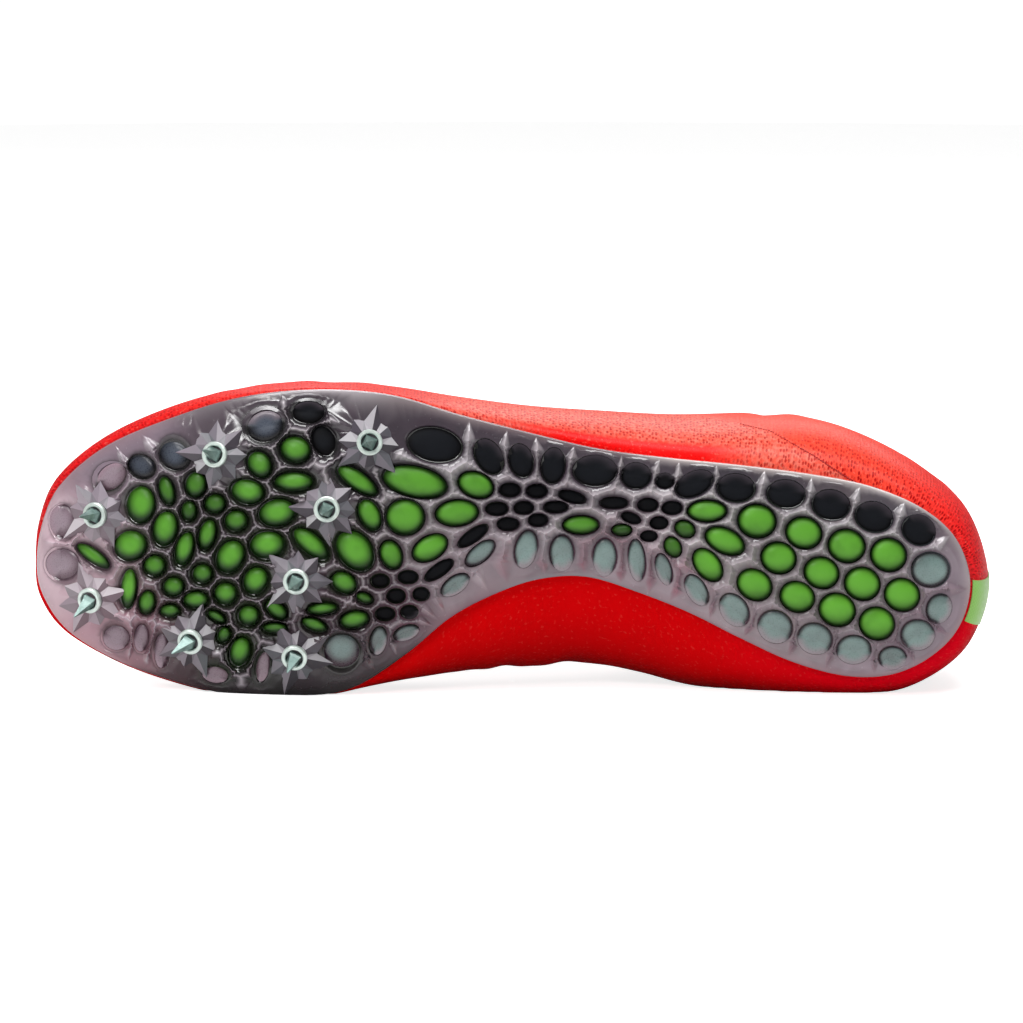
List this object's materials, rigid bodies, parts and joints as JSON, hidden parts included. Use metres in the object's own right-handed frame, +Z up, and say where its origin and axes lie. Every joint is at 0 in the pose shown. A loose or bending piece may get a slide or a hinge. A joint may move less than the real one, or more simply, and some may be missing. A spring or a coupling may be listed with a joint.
{
  "type": "track spike shoe",
  "caption": "Left track spike shoe lying on its inner side: hollow red knit upper, ribbed smoky spike plate with green cells, steel spikes, insole, tongue, laces and a green heel stripe",
  "frame": {"origin": "centre of the shoe's bounding box on the floor it lies on", "axes": "+X from toe to heel, +Y from the sole towards the collar, +Z up, from the inner side of the shoe to its outer side"},
  "size_m": [0.2828, 0.0868, 0.0906],
  "materials": {
    "knit": "red knitted textile, lightly coated",
    "plate": "smoky translucent glossy plastic",
    "pads": "green and grey soft film",
    "lining": "dark brushed cloth",
    "tongue": "red padded mesh",
    "stripe": "green satin film",
    "laces": "flat woven lace",
    "rings": "pale bright metal",
    "pins": "ground steel"
  },
  "bodies": {
    "root": {"upper": "knit", "outsole_plate": "plate", "cell_floor": "pads", "insole": "lining", "tongue": "tongue", "heel_stripe": "stripe", "lace_bar_1": "laces", "lace_bar_2": "laces", "lace_bar_3": "laces", "lace_bar_4": "laces", "lace_bar_5": "laces", "lace_bar_6": "laces", "spike_ring_1": "rings", "spike_ring_2": "rings", "spike_ring_3": "rings", "spike_ring_4": "rings", "spike_ring_5": "rings", "spike_ring_6": "rings", "spike_ring_7": "rings", "spike_ring_8": "rings", "spike_pin_1": "pins", "spike_pin_2": "pins", "spike_pin_3": "pins", "spike_pin_4": "pins", "spike_pin_5": "pins", "spike_pin_6": "pins", "spike_pin_7": "pins", "spike_pin_8": "pins"}
  },
  "joints": []
}
